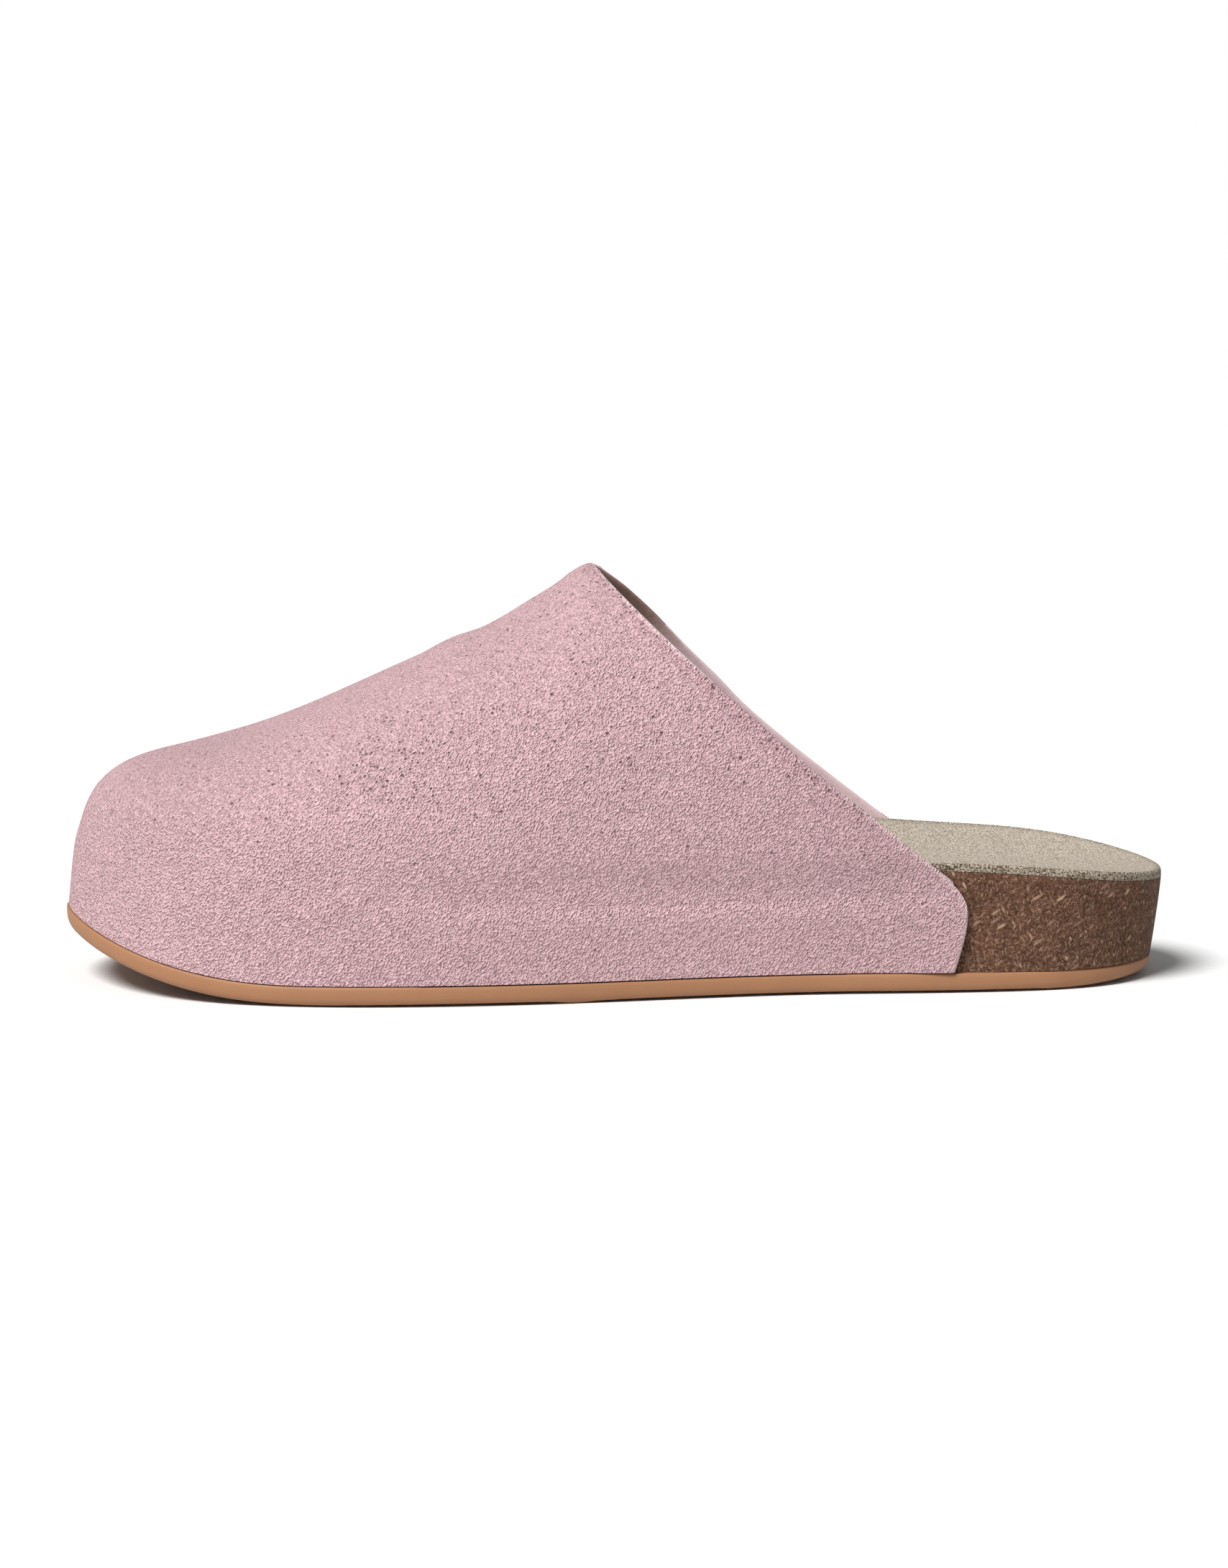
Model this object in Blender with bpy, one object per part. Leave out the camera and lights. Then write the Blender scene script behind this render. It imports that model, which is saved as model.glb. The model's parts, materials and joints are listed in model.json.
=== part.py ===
"""Closed-toe slide, left shoe, at its real size.

A hollow suede upper is lasted over a cork footbed. A suede insole covers the footbed, and a rubber outsole
carries it. The frame has +X to the toe, +Y to the outer (little toe) side and +Z up. The origin is on the
floor, under the middle of the shoe.

Sizes are in millimetres and become metres when a mesh is made. A station is the distance from the back of the
heel along the shoe. A way is a place on the footbed's outline: 0 at the heel, 1 at the toe tip along the outer
side, and 2 at the heel again along the inner side.
"""

import bmesh
import bpy
import numpy as np

MM = 0.001

# Layers of the shoe
OUTSOLE_THICKNESS = 4.6
INSOLE_THICKNESS = 1.9
UPPER_WALL = 2.0
FIT_GAP = 0.3

# How the sole stands on the floor
TOE_SPRING = 12.3
TOE_SPRING_POWER = 2.2
BALL_BREAK_STATION = 199.0
HEEL_BEVEL = 2.2
HEEL_BEVEL_LENGTH = 26.0
HEEL_BEVEL_POWER = 1.6

# The edge of the sole, seen from above
HEEL_TUCK = 2.4
HEEL_TUCK_LENGTH = 60.0
HEEL_TUCK_POWER = 1.2
TOE_DRAFT = 0.1
TOE_DRAFT_STARTS = 205.0
OUTSOLE_LEDGE = 0.4
LEDGE_STARTS = 28.0
LEDGE_FULL = 70.0

# Spine of the plan, from which the rings of every piece grow out to its edge
SPINE_HEEL_EASE = (8.0, 48.0)
SPINE_TOE_EASE = (188.0, 238.0)

# Outline of the footbed's rim: half widths from the long axis, outer side and inner side
PLAN_COLUMNS = ("station", "outer", "inner")
PLAN = (
    (0.0, 0.0, 0.0),
    (5.5, 17.5, 17.0),
    (22.0, 29.5, 28.5),
    (48.0, 31.5, 30.5),
    (75.0, 30.8, 29.0),
    (105.0, 34.5, 28.5),
    (140.0, 41.5, 32.5),
    (175.0, 45.0, 40.5),
    (207.0, 42.5, 44.5),
    (232.0, 32.0, 38.5),
    (247.0, 15.5, 24.0),
    (253.0, -4.0, 4.0),
)

# Top of the cork above the floor, before the toe spring is added
FOOTBED_COLUMNS = ("station", "seat", "outer_rim", "inner_rim")
FOOTBED = (
    (0.0, 21.5, 22.6, 22.6),
    (25.0, 20.5, 26.0, 27.2),
    (50.0, 20.5, 27.8, 29.2),
    (80.0, 20.5, 27.0, 31.0),
    (110.0, 18.5, 23.5, 28.0),
    (140.0, 16.0, 19.5, 21.5),
    (175.0, 13.5, 16.0, 16.0),
    (210.0, 12.5, 14.0, 14.0),
    (253.0, 12.0, 13.0, 13.0),
)
FOOTBED_DISH_POWER = 2.6

# The last: height of its ridge, its sideways shift, how square its sections are, and the height where its walls start to lean in
LAST_COLUMNS = ("station", "ridge", "shift", "squareness", "lean")
LAST = (
    (40.0, 124.0, 0.0, 2.0, 25.5),
    (80.0, 117.5, 0.0, 2.0, 25.0),
    (110.0, 104.5, -1.0, 2.0, 24.0),
    (126.0, 97.2, -2.0, 2.0, 23.5),
    (130.5, 95.9, -2.0, 2.0, 23.5),
    (133.5, 96.0, -2.0, 2.0, 23.5),
    (136.5, 95.0, -2.0, 2.0, 23.5),
    (140.0, 91.9, -2.0, 2.0, 23.5),
    (145.0, 88.7, -2.5, 2.0, 23.5),
    (152.0, 84.2, -3.0, 2.1, 23.5),
    (170.0, 75.6, -3.0, 2.2, 23.5),
    (190.0, 66.5, -3.0, 2.4, 23.5),
    (210.0, 58.0, -3.5, 2.8, 23.0),
    (228.0, 53.5, -3.5, 3.4, 22.0),
    (242.0, 52.6, -4.0, 3.7, 20.5),
    (256.0, 52.0, -4.0, 3.8, 19.0),
)

# Rear edge and collar of the upper: the station of each side's edge at a height. Both sides meet at the ridge
COLLAR_COLUMNS = ("height", "outer", "inner")
COLLAR = (
    (4.0, 52.0, 52.0),
    (12.0, 49.6, 49.6),
    (20.0, 48.8, 48.8),
    (25.0, 51.4, 51.4),
    (29.0, 56.8, 57.0),
    (36.0, 65.2, 66.2),
    (48.0, 80.2, 81.6),
    (62.0, 96.4, 98.0),
    (77.5, 113.8, 114.0),
    (88.5, 125.6, 124.2),
    (95.0, 132.2, 132.2),
)

# Near its peak the collar's edge turns outwards, more to the sides than upwards
COLLAR_FLARE = 1.6
FLARE_UPWARDS = 0.2
FLARE_REACH = 9.0
FLARE_HEIGHTS = (62.0, 90.0)

# Mesh rows and columns
WAYS_PER_SIDE = 34
UPPER_COLUMNS_PER_SIDE = 34
UPPER_COLUMN_EASE = 1.15
WALL_SHARES = (0.0, 0.3, 0.58, 0.78, 0.92)
ARCH_ROWS = 15
ARCH_ROW_EASE = 1.35
BED_RINGS = (0.0, 0.25, 0.48, 0.68, 0.84, 0.95)
FLAT_RINGS = (0.0, 0.35, 0.7)

SUEDE_PINK = (0.60, 0.38, 0.41)
SUEDE_BEIGE = (0.50, 0.45, 0.36)
CORK_BROWN = (0.15, 0.085, 0.055)
RUBBER_TAN = (0.42, 0.20, 0.105)


def smooth_curve(knots, values):
    """A natural cubic spline through the values at the knots, as a function."""
    knots = np.asarray(knots, float)
    values = np.asarray(values, float)
    gaps = np.diff(knots)
    slopes = np.diff(values) / gaps
    count = len(knots)
    system = np.eye(count)
    right = np.zeros(count)
    for i in range(1, count - 1):
        system[i, i - 1 : i + 2] = gaps[i - 1], 2 * (gaps[i - 1] + gaps[i]), gaps[i]
        right[i] = 6 * (slopes[i] - slopes[i - 1])
    bends = np.linalg.solve(system, right)

    def curve(at):
        at = np.clip(at, knots[0], knots[-1])
        i = np.clip(np.searchsorted(knots, at, side="right") - 1, 0, count - 2)
        before, after, gap = at - knots[i], knots[i + 1] - at, gaps[i]
        bent = (bends[i] * after**3 + bends[i + 1] * before**3) / (6 * gap)
        straight_low = (values[i] / gap - bends[i] * gap / 6) * after
        straight_high = (values[i + 1] / gap - bends[i + 1] * gap / 6) * before
        return bent + straight_low + straight_high

    return curve


def table_curves(columns, rows):
    """One smooth curve for each column of a table, against its first column."""
    table = np.array(rows)
    return {name: smooth_curve(table[:, 0], table[:, i]) for i, name in enumerate(columns) if i}


def smoothstep(low, high, at):
    """0 below low, 1 above high, and an even turn between them."""
    share = np.clip((at - low) / (high - low), 0, 1)
    return share * share * (3 - 2 * share)


def slowing(low, high, at):
    """Grows as at does up to low, then slows, and stands still from high on."""
    share = np.clip((at - low) / (high - low), 0, 1)
    return np.minimum(at, low) + (high - low) * (share - share**3 + share**4 / 2)


FOOTBED_CURVES = table_curves(FOOTBED_COLUMNS, FOOTBED)
LAST_CURVES = table_curves(LAST_COLUMNS, LAST)
COLLAR_CURVES = table_curves(COLLAR_COLUMNS, COLLAR)


def outline_curves():
    """Station and sideways place of the footbed's outline against the way, as two closed smooth curves."""
    plan = np.array(PLAN)
    steps = np.diff(plan, axis=0)
    lengths = (np.hypot(steps[:, 0], steps[:, 1]) + np.hypot(steps[:, 0], steps[:, 2])) / 2
    half = np.concatenate([[0], np.cumsum(lengths)]) / lengths.sum()
    ways = np.concatenate([half, 2 - half[-2:0:-1]])
    stations = np.concatenate([plan[:, 0], plan[-2:0:-1, 0]])
    sides = np.concatenate([plan[:, 1], -plan[-2:0:-1, 2]])
    around = np.concatenate([ways - 2, ways, ways + 2, [4]])
    return tuple(
        smooth_curve(around, np.concatenate([column, column, column, column[:1]]))
        for column in (stations, sides)
    )


OUTLINE_STATION, OUTLINE_SIDE = outline_curves()


def outline(way, outwards=0.0):
    """Points of the footbed's outline, moved outwards square to it."""
    tiny = 1e-4
    along_station = OUTLINE_STATION(way + tiny) - OUTLINE_STATION(way - tiny)
    along_side = OUTLINE_SIDE(way + tiny) - OUTLINE_SIDE(way - tiny)
    length = np.hypot(along_station, along_side)
    station = OUTLINE_STATION(way) - outwards * along_side / length
    side = OUTLINE_SIDE(way) + outwards * along_station / length
    return np.stack([station, side], axis=-1)


def spine(way):
    """The point of the plan's spine that a way on the outline belongs to."""
    station = slowing(*SPINE_TOE_EASE, OUTLINE_STATION(way))
    turned = slowing(-SPINE_HEEL_EASE[1], -SPINE_HEEL_EASE[0], -station)
    return np.stack([-turned, LAST_CURVES["shift"](-turned)], axis=-1)


def toe_lift(station):
    """How far the toe spring lifts the sole off the floor."""
    tip = PLAN[-1][0] + FIT_GAP + UPPER_WALL + OUTSOLE_LEDGE
    share = np.clip((station - BALL_BREAK_STATION) / (tip - BALL_BREAK_STATION), 0, None)
    return TOE_SPRING * share**TOE_SPRING_POWER


def outsole_top(station):
    return OUTSOLE_THICKNESS + toe_lift(station)


def rim_height(way):
    """Top of the cork at the footbed's edge."""
    station = OUTLINE_STATION(way)
    column = np.where(
        way <= 1, FOOTBED_CURVES["outer_rim"](station), FOOTBED_CURVES["inner_rim"](station)
    )
    return column + toe_lift(station)


def bed_height(way, ring, station):
    """Top of the cork on a ring: a seat that dishes up to the rim."""
    seat = FOOTBED_CURVES["seat"](station) + toe_lift(station)
    edge = OUTLINE_STATION(way)
    rise = rim_height(way) - FOOTBED_CURVES["seat"](edge) - toe_lift(edge)
    return seat + rise * ring**FOOTBED_DISH_POWER


def lean_in(way, height):
    """How far the wall of the shoe stands in from its outline at a height: the heel narrows downwards, the toe upwards."""
    station = OUTLINE_STATION(way)
    low = outsole_top(station)
    share = np.clip((height - low) / (rim_height(way) - low), 0, 1)
    tuck = HEEL_TUCK * (1 - smoothstep(0, HEEL_TUCK_LENGTH, station)) * (1 - share) ** HEEL_TUCK_POWER
    draft = TOE_DRAFT * smoothstep(TOE_DRAFT_STARTS, PLAN[-1][0], station) * np.clip(height - low, 0, None)
    return tuck + draft


def ring_points(way, ring, outwards, height):
    """A ring round the plan: ring is 1 at the edge and 0 on the spine."""
    middle = spine(way)
    plan = middle + (outline(way, outwards) - middle) * ring
    if callable(height):
        height = height(plan[:, 0])
    return np.column_stack([plan, np.broadcast_to(height, len(plan))])


def upper_point(way, row):
    """A point of the upper's outer face. Rows below 1 climb the wall, and those from 1 to 2 arch over to the ridge."""
    foot = outline(way, FIT_GAP + UPPER_WALL)
    low = outsole_top(foot[..., 0]) + FIT_GAP
    lean = LAST_CURVES["lean"](OUTLINE_STATION(way))
    middle = spine(way)
    power = 2 / LAST_CURVES["squareness"](OUTLINE_STATION(way))
    angle = np.pi / 2 * np.clip(row - 1, 0, 1)
    outwards = np.where(angle > np.pi / 2 - 1e-9, 0, np.clip(np.cos(angle), 0, 1) ** power)[..., None]
    plan = middle + (foot - middle) * outwards
    rise = (LAST_CURVES["ridge"](plan[..., 0]) - lean) * np.sin(angle) ** power
    height = np.where(row < 1, low + (lean - low) * np.minimum(row, 1), lean + rise)
    edge = outline(way, FIT_GAP + UPPER_WALL - lean_in(way, height))
    plan = middle + (edge - middle) * outwards
    return np.concatenate([plan, height[..., None]], axis=-1)


def collar_way(row, inner):
    """The way at which a row of the upper meets the collar, found by halving."""
    behind, ahead = np.zeros_like(row), np.ones_like(row)
    for _ in range(40):
        middle = (behind + ahead) / 2
        point = upper_point(2 - middle if inner else middle, row)
        inside = point[..., 0] > COLLAR_CURVES["inner" if inner else "outer"](point[..., 2])
        ahead = np.where(inside, middle, ahead)
        behind = np.where(inside, behind, middle)
    return ahead


def flared(points, way):
    """A row of the upper with its first point, at the collar, turned outwards where it is near the peak."""
    run = np.concatenate([[0.0], np.cumsum(np.linalg.norm(np.diff(points, axis=0), axis=1))])
    turn = COLLAR_FLARE * smoothstep(*FLARE_HEIGHTS, points[0, 2]) * np.clip(1 - run / FLARE_REACH, 0, 1) ** 2
    lean = LAST_CURVES["lean"](OUTLINE_STATION(way))
    middle = spine(way)
    half_width = np.linalg.norm(outline(way) - middle, axis=-1)
    rise = LAST_CURVES["ridge"](points[:, 0]) - lean
    across = (points[:, 1] - middle[:, 1]) / half_width**2
    upwards = (points[:, 2] - lean) / rise**2
    outwards = np.stack([np.zeros_like(across), across, FLARE_UPWARDS * upwards], axis=-1)
    return points + outwards * (turn / np.hypot(across, upwards))[:, None]


def box_middle():
    """Station and side of the middle of the shoe's box, which the origin lies under."""
    ways = np.linspace(0, 2, 2001)
    reach = outline(ways, outsole_ledge(ways))
    heel = outline(np.zeros(1))[0, 0]
    return (reach[:, 0].max() + heel) / 2, (reach[:, 1].max() + reach[:, 1].min()) / 2


def outsole_ledge(way):
    """How far the outsole's edge stands out from the footbed's outline."""
    full = FIT_GAP + UPPER_WALL + OUTSOLE_LEDGE
    return full * smoothstep(LEDGE_STARTS, LEDGE_FULL, OUTLINE_STATION(way))


MIDDLE = np.array([*box_middle(), 0.0])


def mesh_object(name, rows, closed, colour, roughness):
    """Joins rows of points with faces, merges the points that meet, and makes a named object of them."""
    mesh = bmesh.new()
    grid = [[mesh.verts.new((point - MIDDLE) * MM) for point in row] for row in rows]
    across = len(rows[0])
    for low, high in zip(grid, grid[1:]):
        for i in range(across if closed else across - 1):
            after = (i + 1) % across
            mesh.faces.new((low[i], low[after], high[after], high[i]))
    bmesh.ops.remove_doubles(mesh, verts=mesh.verts, dist=1e-3 * MM)
    bmesh.ops.dissolve_degenerate(mesh, edges=mesh.edges, dist=1e-3 * MM)
    bmesh.ops.recalc_face_normals(mesh, faces=mesh.faces)
    data = bpy.data.meshes.new(name)
    mesh.to_mesh(data)
    mesh.free()
    data.shade_smooth()
    data.set_sharp_from_angle(angle=np.radians(40))
    obj = bpy.data.objects.new(name, data)
    bpy.context.scene.collection.objects.link(obj)
    data.materials.append(plain_material(name, colour, roughness))
    return obj


def plain_material(name, colour, roughness):
    material = bpy.data.materials.new(name)
    material.use_nodes = True
    shader = material.node_tree.nodes["Principled BSDF"]
    shader.inputs["Base Color"].default_value = (*colour, 1.0)
    shader.inputs["Roughness"].default_value = roughness
    shader.inputs["Metallic"].default_value = 0.0
    return material


def ways_round():
    """Ways spaced evenly all round the outline."""
    return np.arange(2 * WAYS_PER_SIDE) / WAYS_PER_SIDE


def make_outsole():
    """A rubber sheet with a rounded edge, a toe spring and a bevelled heel."""
    ways = ways_round()
    edge_columns = ("drop", "inset")
    edge = ((0.0, 0.35), (0.45, 0.0), (2.6, 0.0), (3.7, 0.35), (OUTSOLE_THICKNESS, 1.2))

    def underside(station):
        bevel = np.clip((HEEL_BEVEL_LENGTH - station) / HEEL_BEVEL_LENGTH, 0, None) ** HEEL_BEVEL_POWER
        return toe_lift(station) + HEEL_BEVEL * bevel

    def side_ring(drop, inset):
        reach = outsole_ledge(ways) - lean_in(ways, 0.0) - inset
        station = outline(ways, reach)[:, 0]
        share = drop / OUTSOLE_THICKNESS
        height = outsole_top(station) * (1 - share) + underside(station) * share
        return ring_points(ways, 1.0, reach, height)

    reach_top = outsole_ledge(ways) - lean_in(ways, 0.0) - edge[0][edge_columns.index("inset")]
    reach_low = outsole_ledge(ways) - lean_in(ways, 0.0) - edge[-1][edge_columns.index("inset")]
    rows = [ring_points(ways, ring, reach_top, outsole_top) for ring in FLAT_RINGS]
    rows += [side_ring(drop, inset) for drop, inset in edge]
    rows += [ring_points(ways, ring, reach_low, underside) for ring in FLAT_RINGS[::-1]]
    return mesh_object("outsole", rows, True, RUBBER_TAN, 0.55)


def make_midsole():
    """The cork footbed: a dished top, a wall that narrows downwards at the heel, and an underside on the outsole."""
    ways = ways_round()
    floor_shares = (0.8, 0.55, 0.3, 0.12, 0.0)
    rim = rim_height(ways)

    def underside(station):
        return outsole_top(station) + FIT_GAP

    rows = [bed_ring(ways, ring, 0.0) for ring in (*BED_RINGS, 1.0)]
    for share in floor_shares:
        low = underside(OUTLINE_STATION(ways))
        height = low + (rim - low) * share
        rows.append(ring_points(ways, 1.0, -lean_in(ways, height), height))
    low_reach = -lean_in(ways, underside(OUTLINE_STATION(ways)))
    rows += [ring_points(ways, ring, low_reach, underside) for ring in FLAT_RINGS[::-1]]
    return mesh_object("midsole", rows, True, CORK_BROWN, 0.9)


def bed_ring(ways, ring, above):
    """A ring on the footbed's top, or the given height above it."""
    points = ring_points(ways, ring, -lean_in(ways, rim_height(ways) + above), 0.0)
    points[:, 2] = bed_height(ways, ring, points[:, 0]) + above
    return points


def make_insole():
    """A suede sheet that lies on the whole footbed, with its cut edge showing round the heel."""
    ways = ways_round()
    low = FIT_GAP
    high = FIT_GAP + INSOLE_THICKNESS
    edge_round = 0.6
    rows = [bed_ring(ways, ring, high) for ring in BED_RINGS]
    rows.append(bed_ring(ways, 0.985, high))
    rows.append(bed_ring(ways, 1.0, high - edge_round))
    rows.append(bed_ring(ways, 1.0, low))
    rows += [bed_ring(ways, ring, low) for ring in BED_RINGS[::-1]]
    return mesh_object("insole", rows, True, SUEDE_BEIGE, 0.95)


def make_upper():
    """One hollow suede wall, open at the collar and underneath. Each row runs from the outer collar round the toe."""
    arch = 1 + (np.arange(ARCH_ROWS + 1) / ARCH_ROWS) ** ARCH_ROW_EASE
    levels = np.concatenate([WALL_SHARES, arch])
    share = (np.arange(UPPER_COLUMNS_PER_SIDE + 1) / UPPER_COLUMNS_PER_SIDE) ** UPPER_COLUMN_EASE
    rows = []
    for level in levels:
        row = np.full_like(share, level)
        start_outer = collar_way(np.array([level]), inner=False)
        start_inner = collar_way(np.array([level]), inner=True)
        outer = start_outer + (1 - start_outer) * share
        inner = 2 - (start_inner + (1 - start_inner) * share)
        outer_row = flared(upper_point(outer, row), outer)
        inner_row = flared(upper_point(inner, row), inner)
        rows.append(np.concatenate([outer_row, inner_row[-2::-1]]))
    upper = mesh_object("upper", rows, False, SUEDE_PINK, 0.95)
    wall = upper.modifiers.new("wall", "SOLIDIFY")
    wall.thickness = UPPER_WALL * MM
    wall.offset = -1
    wall.use_even_offset = True
    return upper


def main():
    for obj in list(bpy.data.objects):
        bpy.data.objects.remove(obj)
    shoe = bpy.data.objects.new("closed_toe_slide", None)
    bpy.context.scene.collection.objects.link(shoe)
    for piece in (make_outsole(), make_midsole(), make_insole(), make_upper()):
        piece.parent = shoe


main()
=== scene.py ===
# %% [markdown]
# # A closed-toe slide with a cork footbed
#
# The shoe is a left shoe, about 256 mm long. A pink suede upper is pulled down over a cork footbed, a
# beige suede insole covers the cork, and a thin tan rubber outsole carries it all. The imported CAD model
# gives every shape its place and size, in metres, with +X to the toe, +Y to the outer side and +Z up.
# This lesson refines each solid and gives it the finish of the real material.

# %% Load the CAD frame
import json
import math

import bpy
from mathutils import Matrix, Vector
from mathutils.kdtree import KDTree

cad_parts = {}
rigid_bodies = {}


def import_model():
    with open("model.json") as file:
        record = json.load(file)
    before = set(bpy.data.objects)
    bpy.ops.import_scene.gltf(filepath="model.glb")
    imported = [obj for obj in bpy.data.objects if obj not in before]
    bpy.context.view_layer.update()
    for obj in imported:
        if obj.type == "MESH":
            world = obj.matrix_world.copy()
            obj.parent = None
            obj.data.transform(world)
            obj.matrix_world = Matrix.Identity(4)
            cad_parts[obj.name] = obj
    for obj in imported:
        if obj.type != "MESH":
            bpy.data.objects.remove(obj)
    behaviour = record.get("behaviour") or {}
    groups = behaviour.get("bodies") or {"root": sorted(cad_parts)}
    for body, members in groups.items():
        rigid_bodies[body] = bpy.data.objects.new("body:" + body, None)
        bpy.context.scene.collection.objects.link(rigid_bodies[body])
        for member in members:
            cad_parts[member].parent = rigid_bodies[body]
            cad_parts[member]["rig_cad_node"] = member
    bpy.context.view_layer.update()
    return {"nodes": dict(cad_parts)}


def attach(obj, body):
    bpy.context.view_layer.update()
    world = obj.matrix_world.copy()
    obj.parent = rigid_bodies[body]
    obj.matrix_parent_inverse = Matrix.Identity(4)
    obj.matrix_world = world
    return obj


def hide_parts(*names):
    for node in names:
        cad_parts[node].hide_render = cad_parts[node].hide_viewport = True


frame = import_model()
MM = 0.001
print("nodes:", sorted(frame["nodes"]))

# %% [markdown]
# ## The camera
#
# The photograph was taken from the outer side, about a metre away and a little above the shoe, and
# turned two degrees towards the toe. A long lens keeps the sides nearly parallel. The camera looks at a
# point low in the middle of the shoe, so that the shoe sits in the middle of the tall frame with no lens
# shift.

# %% Place the camera
CAMERA_DISTANCE = 1080 * MM
CAMERA_HEIGHT = 181 * MM
CAMERA_TURN = math.radians(2)
AIM = Vector((0.2 * MM, 0, 44.2 * MM))
FOCAL_PIXELS, FRAME_PIXELS = 6522, 2181  # the focal length and the frame's tall side, in photograph pixels
SENSOR = 36  # mm, along the tall side
CLIP_START = 10 * MM

eye_x = math.sin(CAMERA_TURN) * CAMERA_DISTANCE
eye_y = math.cos(CAMERA_TURN) * CAMERA_DISTANCE
eye = Vector((eye_x, eye_y, CAMERA_HEIGHT))
bpy.ops.object.select_all(action="DESELECT")
bpy.ops.object.camera_add(location=eye, rotation=(AIM - eye).to_track_quat("-Z", "Y").to_euler())
camera = bpy.context.object
camera.name = "photo_camera"
camera.data.sensor_width = SENSOR
camera.data.lens = SENSOR * FOCAL_PIXELS / FRAME_PIXELS
camera.data.clip_start = CLIP_START
bpy.context.scene.camera = camera
print(f"lens {camera.data.lens:.1f} mm")

# %% [markdown]
# ## Colours and nodes
#
# Paint and cloth are matched by their sRGB values, written as hex, and a shader works in linear light.
# One function turns the first into the second. Another adds a shader node, sets its options and joins or
# fills its sockets, so each material reads as a short list of nodes. Patterns are sized in millimetres:
# the mapping turns metres to millimetres, so a scale of 1 gives grains about a millimetre across.


# %% Helpers for materials
def linear(hex_colour):
    """An sRGB hex colour as linear red, green, blue and alpha."""
    values = [int(hex_colour[i : i + 2], 16) / 255 for i in (1, 3, 5)]
    return (*(v / 12.92 if v <= 0.04045 else ((v + 0.055) / 1.055) ** 2.4 for v in values), 1.0)


def add_node(material, kind, settings=None, inputs=None):
    """Adds a shader node. An input that is a socket is linked, and any other is the value of its socket."""
    tree = material.node_tree
    node = tree.nodes.new(kind)
    for name, value in (settings or {}).items():
        setattr(node, name, value)
    for name, value in (inputs or {}).items():
        if isinstance(value, bpy.types.NodeSocket):
            tree.links.new(value, node.inputs[name])
        else:
            node.inputs[name].default_value = value
    return node


def new_material(name, roughness, ior):
    """A named material with its Principled shader, and its coordinates in millimetres."""
    material = bpy.data.materials.new(name)
    material.use_nodes = True
    shader = material.node_tree.nodes["Principled BSDF"]
    shader.inputs["Roughness"].default_value = roughness
    shader.inputs["IOR"].default_value = ior
    place = add_node(material, "ShaderNodeTexCoord")
    to_mm = {"Vector": place.outputs["Object"], "Scale": (1000, 1000, 1000)}
    in_mm = add_node(material, "ShaderNodeMapping", inputs=to_mm)
    return material, shader, in_mm.outputs["Vector"]


# The sockets of a Mix node share their names, so its factor, colours and result go by number.
MIX_FACTOR, MIX_A, MIX_B, MIX_RESULT = 0, 6, 7, 2
BLEND = {"data_type": "RGBA"}
TINT = {"data_type": "RGBA", "blend_type": "MULTIPLY"}
print("pink suede in linear light:", [round(v, 3) for v in linear("#d8b3b7")])

# %% [markdown]
# ## The studio
#
# The shoe was photographed on white. A backdrop could be a curved sweep, but a wide floor that runs out
# to a white world hides the horizon with one plane. The paper is a pale grey that the light turns white,
# so it throws less light back up on the shoe.

# %% Lay the floor
FLOOR_SIZE = 16.0  # metres
FLOOR_CUTS = 7
bpy.ops.object.select_all(action="DESELECT")
bpy.ops.mesh.primitive_plane_add(size=FLOOR_SIZE, location=(0, 0, 0))
floor = bpy.context.object
floor.name = "studio_floor"
bpy.ops.object.mode_set(mode="EDIT")
bpy.ops.mesh.subdivide(number_cuts=FLOOR_CUTS)
bpy.ops.object.mode_set(mode="OBJECT")

# Seamless paper is matt and pale, with a faint tooth and no gloss.
paper, paper_shader, paper_mm = new_material("seamless_paper_matt", 0.9, 1.45)
paper_shader.inputs["Specular IOR Level"].default_value = 0.1
tooth = add_node(paper, "ShaderNodeTexNoise", inputs={"Vector": paper_mm, "Scale": 0.5, "Detail": 2.0})
paper_tone = add_node(
    paper,
    "ShaderNodeMix",
    BLEND,
    {MIX_FACTOR: tooth.outputs["Fac"], MIX_A: linear("#d6d6d6"), MIX_B: linear("#dadada")},
)
paper.node_tree.links.new(paper_tone.outputs[MIX_RESULT], paper_shader.inputs["Base Color"])
floor.data.materials.append(paper)
print("floor", FLOOR_SIZE, "m wide")

# %% [markdown]
# The light was large and soft. A ring of area lamps could give it, but one broad far lamp, high over the
# toe on the camera's side, does the work with fewer settings. The world is white at the horizon and dim
# overhead. The shadows stay soft, the nap shows in relief, and the vamp that faces the lamp is the
# brightest part, as in the photograph.

# %% Light the studio
LAMP_FROM = Vector((0.4, 0.47, 0.79))
LAMP_STRENGTH, LAMP_SPREAD = 5.0, math.radians(25)
bpy.ops.object.select_all(action="DESELECT")
lamp_turn = (-LAMP_FROM).to_track_quat("-Z", "Y").to_euler()
bpy.ops.object.light_add(type="SUN", location=LAMP_FROM, rotation=lamp_turn)
lamp = bpy.context.object
lamp.name = "far_softbox"
lamp.data.energy = LAMP_STRENGTH
lamp.data.angle = LAMP_SPREAD
lamp.data.color = (1.0, 0.995, 0.99)

world = bpy.data.worlds.new("white_room")
bpy.context.scene.world = world
world.use_nodes = True
sky = world.node_tree.nodes["Background"]
sky_place = add_node(world, "ShaderNodeTexCoord")
sky_height = add_node(world, "ShaderNodeSeparateXYZ", inputs={"Vector": sky_place.outputs["Generated"]})
sky_fade = {"From Min": 0.05, "From Max": 0.15, "To Min": 1.0, "To Max": 0.3}
sky_light = add_node(world, "ShaderNodeMapRange", inputs={"Value": sky_height.outputs["Z"], **sky_fade})
world.node_tree.links.new(sky_light.outputs["Result"], sky.inputs["Strength"])
sky.inputs["Color"].default_value = (1.0, 1.0, 1.0, 1.0)
bpy.context.scene.view_settings.view_transform = "Standard"
print("lamp", round(lamp.data.energy, 2), "W per square metre")

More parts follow.
